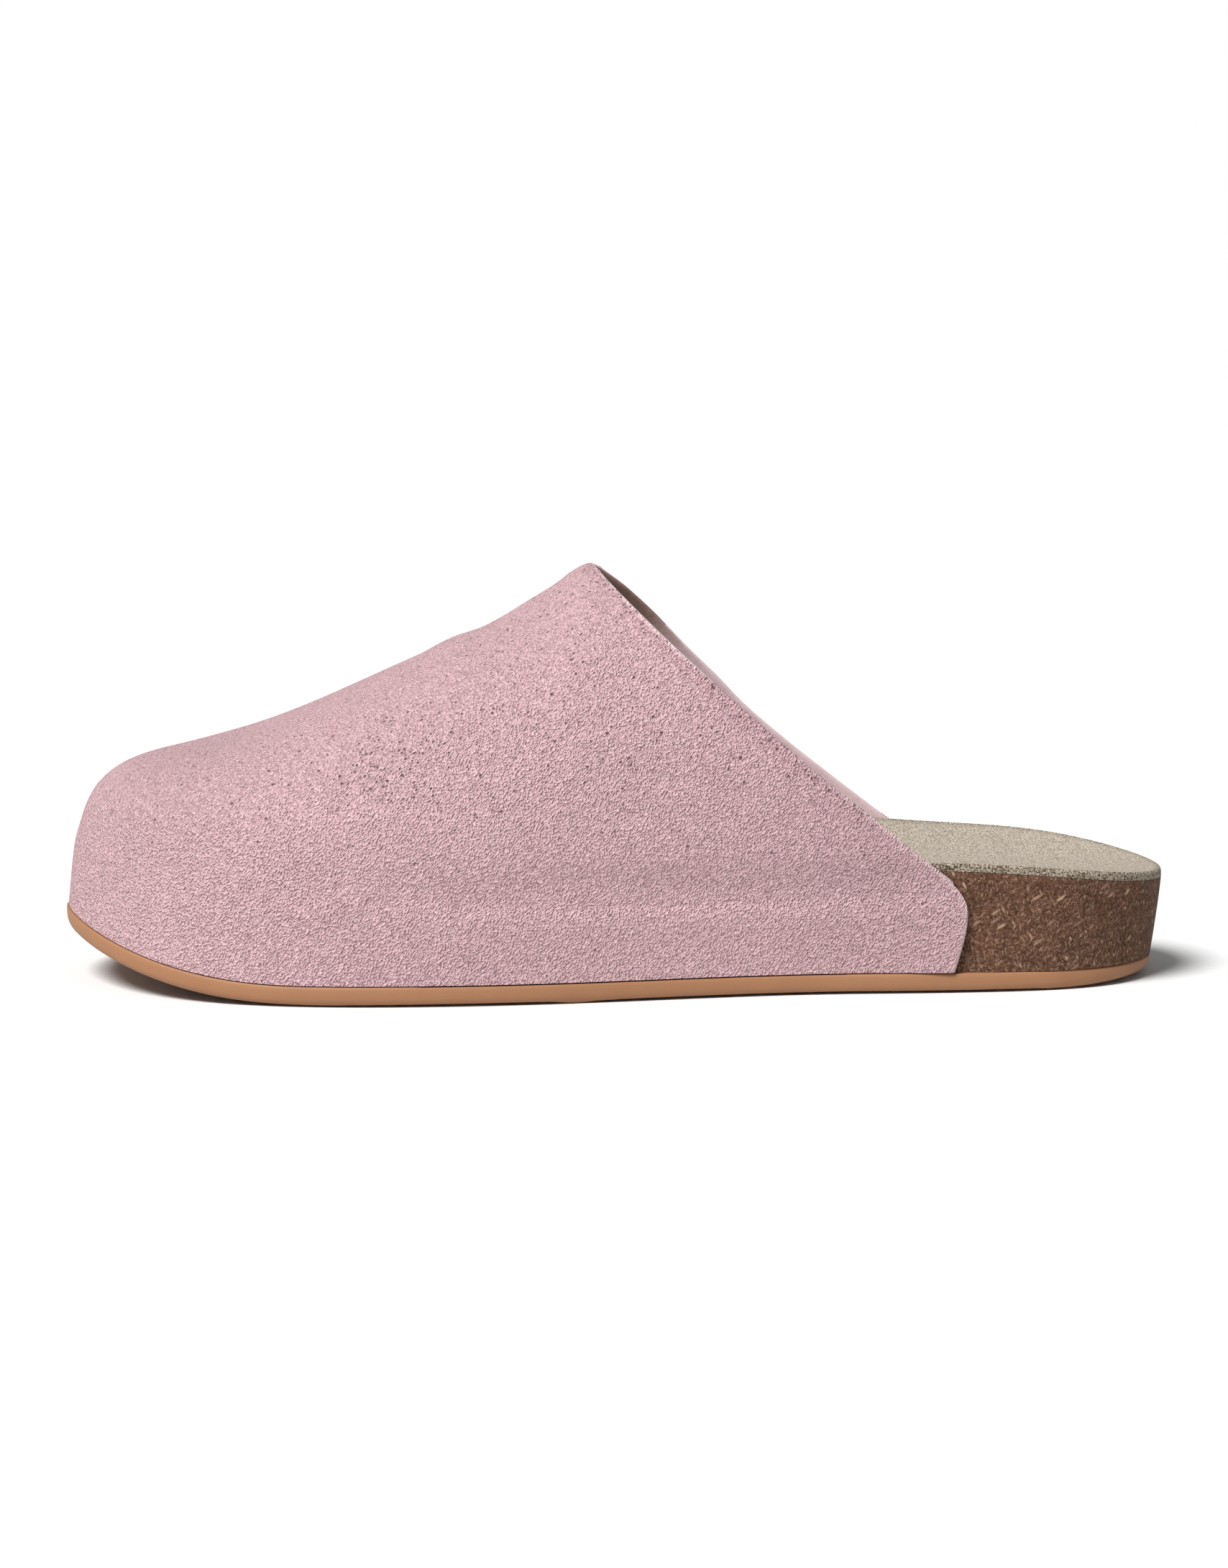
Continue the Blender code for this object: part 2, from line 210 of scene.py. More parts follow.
# %% [markdown]
# ## Pieces from the CAD solids
#
# Each CAD solid already has the right form, in flat facets. A piece could be modelled again from a
# plane, but a copy of its solid keeps the true sections. The copy's loose triangles are merged and
# paired into quads, its hard edges are marked and get a crease, and later a subdivision surface rounds
# the rest. The copy then stands for the CAD node in the picture.

# %% Copy the four solids
MERGE_GAP = 0.002 * MM
QUAD_BEND, QUAD_SKEW = math.radians(40), math.radians(80)
HARD_ANGLE = math.radians(50)


def clean_copy(node, name, crease):
    """A merged copy of a CAD node in quads, with its hard edges creased, which stands for the node."""
    bpy.ops.object.select_all(action="DESELECT")
    solid = frame["nodes"][node]
    solid.select_set(True)
    bpy.context.view_layer.objects.active = solid
    bpy.ops.object.duplicate()
    piece = bpy.context.object
    piece.name = piece.data.name = name
    del piece["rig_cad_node"]
    piece.data.materials.clear()
    bpy.ops.mesh.customdata_custom_splitnormals_clear()
    bpy.ops.object.mode_set(mode="EDIT")
    bpy.ops.mesh.select_mode(type="EDGE")
    bpy.ops.mesh.select_all(action="SELECT")
    bpy.ops.mesh.remove_doubles(threshold=MERGE_GAP)
    bpy.ops.mesh.mark_sharp(clear=True)
    bpy.ops.mesh.tris_convert_to_quads(face_threshold=QUAD_BEND, shape_threshold=QUAD_SKEW)
    bpy.ops.mesh.select_all(action="DESELECT")
    bpy.ops.mesh.edges_select_sharp(sharpness=HARD_ANGLE)
    bpy.ops.transform.edge_crease(value=crease)
    bpy.ops.mesh.mark_seam(clear=False)
    bpy.ops.mesh.select_all(action="DESELECT")
    bpy.ops.object.mode_set(mode="OBJECT")
    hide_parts(node)
    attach(piece, "root")
    print(name, "starts with", len(piece.data.polygons), "faces")
    return piece


outsole = clean_copy("outsole", "tan_outsole", crease=0.85)
midsole = clean_copy("midsole", "cork_midsole", crease=0.9)
insole = clean_copy("insole", "beige_insole", crease=0.3)
upper = clean_copy("upper", "pink_upper", crease=0.3)

# %% [markdown]
# ## The suede upper
#
# Suede is the flesh side of leather, buffed to a short nap. Light catches on the tufts, and the pits
# between them stay dark, so it looks granular from close by. A real bump map could come from a picture,
# but noise in millimetres gives the same grain on every side with no seam. The tufts are longer one way,
# as the hide was brushed, and its colour drifts a little from patch to patch.

# %% Mix the suede
# Split suede, buffed and dyed pink: a dry, matt nap of short tufts, all combed one way, with a faint bloom.
suede, suede_shader, suede_mm = new_material("pink_suede_buffed", 0.95, 1.45)
suede_shader.inputs["Specular IOR Level"].default_value = 0.15
suede_shader.inputs["Sheen Weight"].default_value = 0.1
suede_shader.inputs["Sheen Roughness"].default_value = 0.45
suede_shader.inputs["Sheen Tint"].default_value = linear("#f2dfe2")

NAP_MM, NAP_STRETCH, NAP_SLANT, PATCH_MM = 0.35, 1.35, math.radians(-32), 9.0
TUFT_SHARE, TUFT_SINK = 0.5, -0.4  # tufts for each lump of the noise, and how far their borders sink
TIMES_PLUS = {"operation": "MULTIPLY_ADD"}
combed = add_node(
    suede,
    "ShaderNodeMapping",
    {"vector_type": "TEXTURE"},
    {"Vector": suede_mm, "Rotation": (0, NAP_SLANT, 0), "Scale": (NAP_MM, NAP_MM, NAP_MM * NAP_STRETCH)},
)
nap_place = combed.outputs["Vector"]
nap = add_node(suede, "ShaderNodeTexNoise", inputs={"Vector": nap_place, "Scale": 1.0, "Detail": 0.0})
tufts = add_node(suede, "ShaderNodeTexVoronoi", inputs={"Vector": nap_place, "Scale": TUFT_SHARE})
nap_height = add_node(
    suede, "ShaderNodeMath", TIMES_PLUS, {0: tufts.outputs["Distance"], 1: TUFT_SINK, 2: nap.outputs["Fac"]}
)
nap_light = add_node(
    suede, "ShaderNodeMapRange", inputs={"Value": nap_height.outputs[0], "From Min": 0.05, "From Max": 0.5}
)
# Painted light and shade: the tone follows the nap's height, lighter on the tufts and darker in the gaps.
nap_tone = add_node(
    suede,
    "ShaderNodeMix",
    BLEND,
    {MIX_FACTOR: nap_light.outputs["Result"], MIX_A: linear("#a88a8e"), MIX_B: linear("#d1b2b6")},
)
patches = add_node(
    suede, "ShaderNodeTexNoise", inputs={"Vector": suede_mm, "Scale": 1 / PATCH_MM, "Detail": 2.0}
)
patch_hue = add_node(
    suede,
    "ShaderNodeMix",
    BLEND,
    {MIX_FACTOR: patches.outputs["Fac"], MIX_A: linear("#f6f0f3"), MIX_B: linear("#fdfaf8")},
)
patch_tone = add_node(
    suede,
    "ShaderNodeMix",
    TINT,
    {MIX_FACTOR: 1.0, MIX_A: nap_tone.outputs[MIX_RESULT], MIX_B: patch_hue.outputs[MIX_RESULT]},
)
print("nap of", NAP_MM, "mm tufts")

# %% [markdown]
# Open pores show as small dark pits, large and small. They lie on the toe, the vamp and the instep,
# thickest in one patch on the outer side of the vamp and along the collar, and fewer lie low on the
# sides. They could be dotted on by hand, but a cell pattern scatters them: each cell has a random
# number, and its pit is open where that number is high enough. Here the patch, the height and the collar
# raise or lower the number. An attribute of the mesh, painted later, tells how near the collar a point
# lies.

# %% Say where the pores lie
PORE_PATCH, PATCH_CORE_MM, PATCH_REACH_MM = (49.0, 38.0, 54.0), 4.0, 17.0
COLLAR_RAISE = 0.4
ADD = {"operation": "ADD"}
from_patch = add_node(suede, "ShaderNodeVectorMath", {"operation": "DISTANCE"}, {0: suede_mm, 1: PORE_PATCH})
patch_fade = {"From Min": PATCH_CORE_MM, "From Max": PATCH_REACH_MM, "To Min": 0.25, "To Max": 0.0}
in_patch = add_node(suede, "ShaderNodeMapRange", inputs={"Value": from_patch.outputs["Value"], **patch_fade})
pore_place = add_node(suede, "ShaderNodeSeparateXYZ", inputs={"Vector": suede_mm})
height_fade = {"From Min": 25.0, "From Max": 55.0, "To Min": -0.08, "To Max": 0.0}
up_high = add_node(suede, "ShaderNodeMapRange", inputs={"Value": pore_place.outputs["Z"], **height_fade})
by_place = add_node(
    suede, "ShaderNodeMath", ADD, {0: in_patch.outputs["Result"], 1: up_high.outputs["Result"]}
)
at_collar = add_node(suede, "ShaderNodeAttribute", {"attribute_name": "near_collar"})
raised = add_node(
    suede,
    "ShaderNodeMath",
    TIMES_PLUS,
    {0: at_collar.outputs["Fac"], 1: COLLAR_RAISE, 2: by_place.outputs[0]},
)
print("the thickest pores lie round", PORE_PATCH)

# %% [markdown]
# Each large pit is the middle of a cell about a millimetre wide, bent a little by the nap so that no two
# look alike. A small pit is the root of a tuft, so it needs no pattern of its own. The deeper of the two
# counts.

# %% Sink the large and the small pits
PORE_MM, PORE_BEND_MM = 1.15, 0.35
PORE_BEND = PORE_BEND_MM / NAP_MM
TIMES = {"operation": "MULTIPLY"}
bent = add_node(
    suede,
    "ShaderNodeVectorMath",
    TIMES_PLUS,
    {0: nap.outputs["Color"], 1: (PORE_BEND, PORE_BEND, PORE_BEND), 2: nap_place},
)
pores = add_node(
    suede, "ShaderNodeTexVoronoi", inputs={"Vector": bent.outputs["Vector"], "Scale": NAP_MM / PORE_MM}
)
PITS = (
    # cell pattern, lowest and highest number of an open cell, darkest pit, core and rim in shares of a cell
    (pores, 0.83, 0.96, 0.9, 0.12, 0.3),
    (tufts, 0.78, 1.0, 0.8, 0.15, 0.45),
)
pit_masks = []
for cells, shut, wide, darkest, core, rim in PITS:
    number = add_node(suede, "ShaderNodeSeparateColor", inputs={"Color": cells.outputs["Color"]})
    chance = add_node(suede, "ShaderNodeMath", ADD, {0: number.outputs["Red"], 1: raised.outputs[0]})
    opening = {"From Min": shut, "From Max": wide, "To Min": 0.0, "To Max": darkest}
    here = add_node(suede, "ShaderNodeMapRange", inputs={"Value": chance.outputs[0], **opening})
    slope = {"From Min": core, "From Max": rim, "To Min": 1.0, "To Max": 0.0}
    depth = add_node(suede, "ShaderNodeMapRange", inputs={"Value": cells.outputs["Distance"], **slope})
    pit = add_node(suede, "ShaderNodeMath", TIMES, {0: here.outputs["Result"], 1: depth.outputs["Result"]})
    pit_masks.append(pit.outputs[0])
pore_mask = add_node(suede, "ShaderNodeMath", {"operation": "MAXIMUM"}, {0: pit_masks[0], 1: pit_masks[1]})
print("sets of pits:", len(pit_masks))

# %% [markdown]
# The colour is built up in layers: the patches, the worn collar, the pale fraying cut with its painted
# highlight, the painted shade on the flap and the toe, and the dark pits, which are painted shade in the
# pores. Wear, the pale cut and the painted shade are read from attributes that are painted on the mesh
# further down. The relief is the height of the nap less the pits.

# %% Tint and finish the suede
NAP_RELIEF = 0.85 * MM
worn_tone = add_node(
    suede,
    "ShaderNodeMix",
    TINT,
    {MIX_FACTOR: at_collar.outputs["Fac"], MIX_A: patch_tone.outputs[MIX_RESULT], MIX_B: linear("#f3ecee")},
)
# The pale cut: partly the paler fibres of the cut, partly a painted highlight along the rim.
frayed_and_highlight = add_node(suede, "ShaderNodeAttribute", {"attribute_name": "frayed_and_highlight"})
frayed_and_highlight_tone = add_node(
    suede,
    "ShaderNodeMix",
    BLEND,
    {MIX_FACTOR: frayed_and_highlight.outputs["Fac"], MIX_A: worn_tone.outputs[MIX_RESULT], MIX_B: linear("#e3c8ca")},
)
# Painted shade: a grey multiply darkens the flap beside the heel and the top of the toe.
in_shade = add_node(suede, "ShaderNodeAttribute", {"attribute_name": "shade"})
shade_tone = add_node(
    suede,
    "ShaderNodeMix",
    TINT,
    {MIX_FACTOR: in_shade.outputs["Fac"], MIX_A: frayed_and_highlight_tone.outputs[MIX_RESULT], MIX_B: linear("#bcbcbc")},
)
# Painted shade in the pores: each pit is darkened in colour as well as sunk in the bump.
suede_tone = add_node(
    suede,
    "ShaderNodeMix",
    BLEND,
    {MIX_FACTOR: pore_mask.outputs[0], MIX_A: shade_tone.outputs[MIX_RESULT], MIX_B: linear("#523940")},
)
suede_height = add_node(
    suede, "ShaderNodeMath", {"operation": "SUBTRACT"}, {0: nap_height.outputs[0], 1: pore_mask.outputs[0]}
)
suede_relief = {"Height": suede_height.outputs[0], "Strength": 1.0, "Distance": NAP_RELIEF}
suede_bump = add_node(suede, "ShaderNodeBump", inputs=suede_relief)
suede.node_tree.links.new(suede_tone.outputs[MIX_RESULT], suede_shader.inputs["Base Color"])
suede.node_tree.links.new(suede_bump.outputs["Normal"], suede_shader.inputs["Normal"])
print("suede nodes:", len(suede.node_tree.nodes))

# %% [markdown]
# The collar is cut through the hide, and the cut shows as a narrow pale band. It could share the nap's
# material, but a cut has no tufts, so it gets a plain one with a fine fibre.

# %% Mix the cut edge
# The cut edge of suede is denser than its face: smooth, a little lighter, with fine fibres along it.
edge, edge_shader, edge_mm = new_material("pink_suede_cut_edge", 0.8, 1.45)
edge_shader.inputs["Specular IOR Level"].default_value = 0.2
fibres = add_node(edge, "ShaderNodeTexNoise", inputs={"Vector": edge_mm, "Scale": 1.4, "Detail": 2.0})
edge_tone = add_node(
    edge,
    "ShaderNodeMix",
    BLEND,
    {MIX_FACTOR: fibres.outputs["Fac"], MIX_A: linear("#bfa4a5"), MIX_B: linear("#dac3c2")},
)
edge_relief = {"Height": fibres.outputs["Fac"], "Strength": 0.3, "Distance": 0.3 * MM}
edge_bump = add_node(edge, "ShaderNodeBump", inputs=edge_relief)
edge.node_tree.links.new(edge_tone.outputs[MIX_RESULT], edge_shader.inputs["Base Color"])
edge.node_tree.links.new(edge_bump.outputs["Normal"], edge_shader.inputs["Normal"])
print("edge nodes:", len(edge.node_tree.nodes))

# %% [markdown]
# The shoe has no sewn lining: its inside is the back of the same hide. Along the lower collar, where light
# falls on the inside, a strip of it is painted pale pink as painted light; it fades towards the peak, where
# the inside lies in shade. The strip could be a piece of its own, but it has no thickness to see, so an
# attribute of the mesh marks it and one material paints both.

# %% Mix the lining
# The back of the hide, left undyed and rubbed smooth: taupe and matt, with a loose short fibre.
lining, lining_shader, lining_mm = new_material("taupe_lining_rubbed", 0.9, 1.45)
lining_shader.inputs["Specular IOR Level"].default_value = 0.15
loose_grain = {"Vector": lining_mm, "Scale": 0.7, "Detail": 4.0, "Roughness": 0.6}
loose = add_node(lining, "ShaderNodeTexNoise", inputs=loose_grain)
lining_tone = add_node(
    lining,
    "ShaderNodeMix",
    BLEND,
    {MIX_FACTOR: loose.outputs["Fac"], MIX_A: linear("#755b54"), MIX_B: linear("#a0847c")},
)
# Painted light: a pale pink strip low on the inside of the collar, fading out towards the peak.
painted_light = add_node(lining, "ShaderNodeAttribute", {"attribute_name": "painted_light"})
painted_light_tone = add_node(
    lining,
    "ShaderNodeMix",
    BLEND,
    {MIX_FACTOR: painted_light.outputs["Fac"], MIX_A: lining_tone.outputs[MIX_RESULT], MIX_B: linear("#c6adb0")},
)
lining_relief = {"Height": loose.outputs["Fac"], "Strength": 0.4, "Distance": 0.4 * MM}
lining_bump = add_node(lining, "ShaderNodeBump", inputs=lining_relief)
lining.node_tree.links.new(painted_light_tone.outputs[MIX_RESULT], lining_shader.inputs["Base Color"])
lining.node_tree.links.new(lining_bump.outputs["Normal"], lining_shader.inputs["Normal"])
print("lining nodes:", len(lining.node_tree.nodes))

# %% [markdown]
# The wall of the upper has three faces: suede outside, lining inside and the cut edge between. The hard
# edges of the rim are marked as seams, so each side can be picked by one face at the toe and grown up to
# the seams.


# %% Dress the three sides of the wall
def paint_side(piece, seed, slot_index):
    """Gives a material to one side of a wall, from a seed face's number up to the marked edges."""
    bpy.ops.object.select_all(action="DESELECT")
    piece.select_set(True)
    bpy.context.view_layer.objects.active = piece
    bpy.ops.object.mode_set(mode="EDIT")
    bpy.ops.mesh.select_mode(type="FACE")
    bpy.ops.mesh.select_all(action="DESELECT")
    bpy.ops.object.mode_set(mode="OBJECT")
    piece.data.polygons[seed].select = True
    bpy.ops.object.mode_set(mode="EDIT")
    bpy.ops.mesh.select_linked(delimit={"SEAM"})
    piece.active_material_index = slot_index
    bpy.ops.object.material_slot_assign()
    bpy.ops.mesh.select_all(action="DESELECT")
    bpy.ops.object.mode_set(mode="OBJECT")
    return sum(face.material_index == slot_index for face in piece.data.polygons)


CUT_EDGE, OUTSIDE, INSIDE = 0, 1, 2
FACES_TOE, FACES_HEEL = 0.7, -0.7  # limits for a normal's X
for finish in (edge, suede, lining):
    upper.data.materials.append(finish)
toe_face = max((f for f in upper.data.polygons if f.normal.x > FACES_TOE), key=lambda f: f.center.x)
print("outside faces:", paint_side(upper, toe_face.index, OUTSIDE))
inner_face = max((f for f in upper.data.polygons if f.normal.x < FACES_HEEL), key=lambda f: f.center.x)
print("inside faces:", paint_side(upper, inner_face.index, INSIDE))

# %% [markdown]
# ## Round the pieces
#
# A subdivision surface turns the facets into smooth curves. Two levels put points about a millimetre or
# two apart, which is close enough for the soft troughs that follow. The collar becomes round, but the
# lower edges of the cork, the insole and the upper are glued down and stay square, so they get more
# crease first.


# %% Subdivide
def pick_faces(piece, wanted):
    """Leaves a piece in edit mode with just the faces selected for which wanted gives True."""
    bpy.ops.object.select_all(action="DESELECT")
    piece.select_set(True)
    bpy.context.view_layer.objects.active = piece
    bpy.ops.object.mode_set(mode="EDIT")
    bpy.ops.mesh.select_mode(type="FACE")
    bpy.ops.mesh.select_all(action="DESELECT")
    bpy.ops.object.mode_set(mode="OBJECT")
    for face in piece.data.polygons:
        face.select = wanted(face)
    bpy.ops.object.mode_set(mode="EDIT")


def subdivide(piece, levels):
    """Rounds a piece with an applied subdivision surface."""
    bpy.ops.object.select_all(action="DESELECT")
    piece.select_set(True)
    bpy.context.view_layer.objects.active = piece
    bpy.ops.object.modifier_add(type="SUBSURF")
    rounding = piece.modifiers[-1]
    rounding.levels = rounding.render_levels = levels
    bpy.ops.object.modifier_apply(modifier=rounding.name)
    bpy.ops.object.shade_smooth_by_angle(angle=HARD_ANGLE)
    print(piece.name, "now has", len(piece.data.polygons), "faces")


FACES_DOWN = -0.5  # limit for a normal's Z
GLUED_CREASE, ROUNDING_LEVELS = 0.6, 2
for piece in (midsole, insole, upper):
    pick_faces(piece, lambda face: face.normal.z < FACES_DOWN and face.material_index == CUT_EDGE)
    bpy.ops.mesh.region_to_loop()
    bpy.ops.transform.edge_crease(value=GLUED_CREASE)
    bpy.ops.mesh.select_mode(type="FACE")
    bpy.ops.object.mode_set(mode="OBJECT")
for piece in (outsole, midsole, insole, upper):
    subdivide(piece, ROUNDING_LEVELS)

# %% [markdown]
# The CAD layers stand 0.3 mm apart, and on the real shoe they are glued. The gaps would show as black
# lines, so the underside of each layer is moved down until it nearly touches the one below. Under the
# upper a finer gap stays open, because there the real shoe shows a thin dark line.

# %% Close the glue lines
GLUE_DROPS = ((midsole, 0.28), (insole, 0.28), (upper, 0.16))  # in mm
for piece, drop in GLUE_DROPS:
    pick_faces(piece, lambda face: face.normal.z < FACES_DOWN and face.material_index == CUT_EDGE)
    bpy.ops.transform.translate(value=(0, 0, -drop * MM))
    bpy.ops.mesh.select_all(action="DESELECT")
    bpy.ops.object.mode_set(mode="OBJECT")
    print("the underside of", piece.name, "moves down", drop, "mm")

# %% [markdown]
# ## The collar
#
# The collar is a raw cut. Along it the suede is worn, with open pores, and its outermost millimetre is
# pale, most of all beside the heel and round the peak: partly the fraying fibres of the cut and partly a
# painted highlight along the rim. Inside, a narrow strip along the lower part is painted pale pink as
# painted light, where light falls on the inside. How near a point lies to the cut is measured once and
# painted on the mesh as attributes, which the materials read: that follows the curve of the collar, as
# no pattern in space could.


# %% Measure and paint the collar
def gaps_to(piece, faces):
    """The distance of every point of a piece from the points of some of its faces."""
    points = {i for face in faces for i in face.vertices}
    nearest = KDTree(len(points))
    for index in points:
        nearest.insert(piece.data.vertices[index].co, index)
    nearest.balance()
    return [nearest.find(point.co)[2] for point in piece.data.vertices]


def paint(piece, name, values):
    """Keeps a number at each point of a piece, for its materials to read."""
    piece.data.attributes.new(name, "FLOAT", "POINT").data.foreach_set("value", values)


def along_table(table, place, column):
    """A value from a table, straight between its rows."""
    if place <= table[0][0]:
        return table[0][column]
    for low, high in zip(table, table[1:]):
        if place <= high[0]:
            share = (place - low[0]) / (high[0] - low[0])
            return low[column] + share * (high[column] - low[column])
    return table[-1][column]


def ramp(value, start, end):
    """How far a value has come from a start to an end, from 0 to 1."""
    return min(max((value - start) / (end - start), 0.0), 1.0)


PALE_CUT = (
    # height in mm, paleness of the nap along the cut, partly a painted highlight
    (33, 0.5),
    (40, 0.8),
    (50, 0.2),
    (70, 0.2),
    (78, 0.9),
)
PALE_CUT_REACH = 1.2 * MM
WORN_REACH, WORN_FROM, WORN_FULL = 3.5 * MM, 34 * MM, 46 * MM
LIT_STRIP_REACH, LIT_STRIP_FULL, LIT_STRIP_TO = 4.5 * MM, 68 * MM, 82 * MM
cut_faces = [f for f in upper.data.polygons if f.material_index == CUT_EDGE and f.normal.z > FACES_DOWN]
# The pale cut is partly a painted highlight, and the inner strip is painted light.
worn_values, frayed_and_highlight_values, painted_light_values = [], [], []
for point, gap in zip(upper.data.vertices, gaps_to(upper, cut_faces)):
    height = point.co.z
    worn_values.append(ramp(height, WORN_FROM, WORN_FULL) * max(0.0, 1 - gap / WORN_REACH))
    frayed_and_highlight_values.append(along_table(PALE_CUT, height / MM, 1) * max(0.0, 1 - gap / PALE_CUT_REACH))
    painted_light_values.append(ramp(height, LIT_STRIP_TO, LIT_STRIP_FULL) * min(max(2 - 2 * gap / LIT_STRIP_REACH, 0.0), 1.0))
paint(upper, "near_collar", worn_values)
paint(upper, "frayed_and_highlight", frayed_and_highlight_values)
paint(upper, "painted_light", painted_light_values)
print("points in the pared strip:", sum(value > 0.5 for value in painted_light_values))

# %% [markdown]
# Beside the heel the nap folds right over the cut, and above that half over it. Round the peak the taupe
# lining comes up to the cut instead, so only a thin pale line of the edge shows. A finer border could be
# cut with a knife, but each side of the wall can just take over the strips of faces beside it.


# %% Bring the nap and the lining over the edge
def grow_over_edge(piece, slot_index, strips, lowest, highest):
    """Lets one side of the wall take over strips of the cut edge beside it, between two heights."""
    pick_faces(piece, lambda face: face.material_index == slot_index and lowest < face.center.z < highest)
    for _ in range(strips):
        bpy.ops.mesh.select_more(use_face_step=False)
    bpy.ops.object.mode_set(mode="OBJECT")
    for face in piece.data.polygons:
        if face.select and face.material_index == CUT_EDGE:
            face.material_index = slot_index


FLAP_TOP, NAP_TOP, LINED_FROM, PEAK_TOP = 33 * MM, 70 * MM, 80 * MM, 100 * MM
STRIPS = 2
for face in upper.data.polygons:
    if face.material_index == CUT_EDGE and face.center.z < FLAP_TOP:
        face.material_index = OUTSIDE
grow_over_edge(upper, INSIDE, STRIPS, LINED_FROM, PEAK_TOP)
grow_over_edge(upper, OUTSIDE, STRIPS, FLAP_TOP, NAP_TOP)
print("pale edge faces:", sum(face.material_index == CUT_EDGE for face in upper.data.polygons))

# %% [markdown]
# Painted shade darkens the flap beside the heel and the top of the toe a little, where the light falls off.
# Two soft round patches are painted on the mesh, each with its middle and its reach.

# %% Paint shade on the hide
PAINTED_SHADES = (
    # middle in mm, reach in mm, strength
    ((-66, 40, 24), 48, 0.26),
    ((104, 22, 46), 34, 0.18),
)
shade_values = []
for point in upper.data.vertices:
    shade = 0.0
    for middle, reach, strength in PAINTED_SHADES:
        share = min((point.co / MM - Vector(middle)).length / reach, 1.0)
        shade += (1 - share**2) ** 2 * strength
    shade_values.append(shade)
paint(upper, "shade", shade_values)
print("deepest shade:", round(max(shade_values), 2))

# %% [markdown]
# In the photograph a thin band of the far side shows over the near one. The inner side of the collar
# lies a little lower than the outer side beside the heel and a little higher below the peak, so its rim
# is moved there. Proportional editing takes the wall along, softer with the distance.

# %% Bend the inner side of the collar
COLLAR_MOVES = (
    # lowest and highest point of the rim and its rise, all in mm
    (36, 58, -0.5),
    (68, 77, 0.7),
)
COLLAR_SOFTNESS = 14 * MM
FACES_UP, FACES_BACK = 0.2, -0.4  # limits for a normal's Z and X
for lowest, highest, rise in COLLAR_MOVES:
    pick_faces(
        upper,
        lambda face: face.material_index in (CUT_EDGE, OUTSIDE)
        and face.normal.z > FACES_UP
        and face.normal.x < FACES_BACK
        and face.center.y < 0
        and lowest < face.center.z / MM < highest,
    )
    bpy.ops.transform.translate(
        value=(0, 0, rise * MM),
        use_proportional_edit=True,
        proportional_edit_falloff="SMOOTH",
        proportional_size=COLLAR_SOFTNESS,
        use_proportional_connected=True,
    )
    bpy.ops.mesh.select_all(action="DESELECT")
    bpy.ops.object.mode_set(mode="OBJECT")
    print("inner collar raised by", rise, "mm from", lowest, "to", highest, "mm")

# %% [markdown]
# The peak over the instep is a soft rounded knob. A bevel would round it evenly, but some strokes of the
# smooth tool on the points round the peak give the slack form of worn leather.

# %% Round the peak
PEAK_REACH, PEAK_STROKES = 6.0 * MM, 16
peak = max((point.co for point in upper.data.vertices), key=lambda place: place.z).copy()
pick_faces(upper, lambda face: (face.center - peak).length < PEAK_REACH)
bpy.ops.mesh.vertices_smooth(factor=0.5, repeat=PEAK_STROKES)
bpy.ops.mesh.select_all(action="DESELECT")
bpy.ops.object.mode_set(mode="OBJECT")
top = max(point.co.z for point in upper.data.vertices)
print(f"the peak sinks from {peak.z / MM:.1f} to {top / MM:.1f} mm")

# %% [markdown]
# ## Troughs in the upper
#
# The suede is pulled tight over the rim of the footbed, and above the rim it sinks in a little. In the
# photograph this is a soft dark line along the side, deepest at the waist, which runs on as a faint line
# round the toe. It could be carved with a sculpt brush, but a weight painted along the line, with a
# Displace modifier that follows the weight, keeps it smooth and in the shoe's own sizes.

# %% Press in the line of the footbed's rim
RIM_LINE = (
    # along and height in mm, from the collar to the toe, and share of the depth; over 1 widens the bottom
    (-80, 24.0, 0.5),
    (-64, 23.4, 1.0),
    (-40, 22.6, 1.0),
    (-15, 22.8, 1.1),
    (10, 23.2, 1.25),
    (30, 23.4, 1.0),
    (52, 24.4, 0.5),
    (68, 26.2, 0.4),
    (90, 27.4, 0.1),
    (107, 31.6, 0.3),
    (121, 36.0, 0.3),
)
TROUGH_DEPTH, TROUGH_ABOVE, TROUGH_BELOW = 1.0 * MM, 10 * MM, 5 * MM
TROUGH_START = RIM_LINE[0][0] - 4
STEEP = 0.75  # the normal of a steep wall rises less than this


def press_in(piece, name, weights, depth):
    """Pushes painted points along their normals by a depth, or out for a negative one."""
    group = piece.vertex_groups.new(name=name)
    for index, weight in weights.items():
        group.add([index], weight, "REPLACE")
    bpy.ops.object.select_all(action="DESELECT")
    piece.select_set(True)
    bpy.context.view_layer.objects.active = piece
    bpy.ops.object.modifier_add(type="DISPLACE")
    press = piece.modifiers[-1]
    press.vertex_group = name
    press.mid_level = 0.0
    press.strength = -depth
    bpy.ops.object.modifier_apply(modifier=press.name)
    print(name, "moves", len(weights), "points by up to", round(depth / MM, 2), "mm")


outside_points = {i for face in upper.data.polygons if face.material_index == OUTSIDE for i in face.vertices}
rim_weights = {}
for index in outside_points:
    point = upper.data.vertices[index]
    along = point.co.x / MM
    rise = point.co.z - along_table(RIM_LINE, along, 1) * MM
    share = rise / (TROUGH_ABOVE if rise > 0 else -TROUGH_BELOW)
    if point.normal.z < STEEP and along > TROUGH_START and share < 1:
        rim_weights[index] = (1 - share * share) ** 2 * along_table(RIM_LINE, along, 2)
press_in(upper, "rim_trough", rim_weights, TROUGH_DEPTH)

# %% [markdown]
# Where the trough ends beside the ball of the foot, the spare leather stands up in one short, slanting
# pucker. It is raised as the trough is pressed in, with a weight that fades away from the pucker's line.

